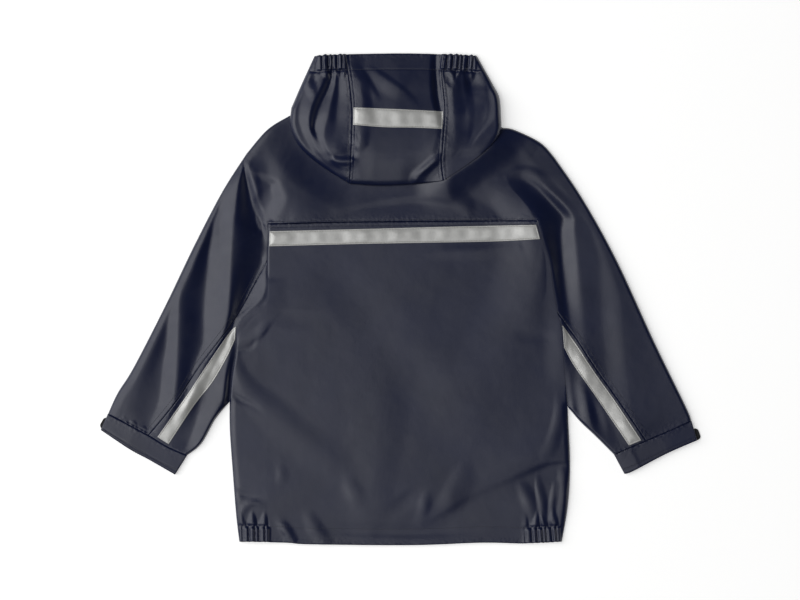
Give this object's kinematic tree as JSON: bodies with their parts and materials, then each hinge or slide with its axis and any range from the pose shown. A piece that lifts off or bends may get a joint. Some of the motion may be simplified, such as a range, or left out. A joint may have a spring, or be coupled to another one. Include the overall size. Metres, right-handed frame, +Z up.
{
  "type": "kids raincoat",
  "caption": "Child's hooded raincoat in dark navy coated cloth, laid flat with its back up, with reflective strips on the hood, back and sleeves.",
  "frame": {"origin": "middle of the laid-out coat's footprint, on the surface that it lies on", "axes": "+X towards the sleeve that is on the right with the back up, +Y from the hem to the hood, +Z up from the surface, out of the coat's back"},
  "size_m": [0.75, 0.6138, 0.0201],
  "materials": {
    "coated_cloth": "satin",
    "reflective_strip": "satin",
    "hook_and_loop": "matte"
  },
  "bodies": {
    "root": {"hood_centre": "coated_cloth", "hood_left": "coated_cloth", "hood_right": "coated_cloth", "hood_left_under": "coated_cloth", "hood_right_under": "coated_cloth", "back_yoke": "coated_cloth", "back_body": "coated_cloth", "sleeve_left_upper": "coated_cloth", "sleeve_right_upper": "coated_cloth", "sleeve_left_under": "coated_cloth", "sleeve_right_under": "coated_cloth", "sleeve_left_front": "coated_cloth", "sleeve_right_front": "coated_cloth", "front_left": "coated_cloth", "front_placket": "coated_cloth", "front_right": "coated_cloth", "cuff_left": "coated_cloth", "cuff_right": "coated_cloth", "stripe_back": "reflective_strip", "stripe_hood": "reflective_strip", "stripe_sleeve_left": "reflective_strip", "stripe_sleeve_right": "reflective_strip", "cuff_tab_left": "hook_and_loop", "cuff_tab_right": "hook_and_loop"}
  },
  "joints": []
}
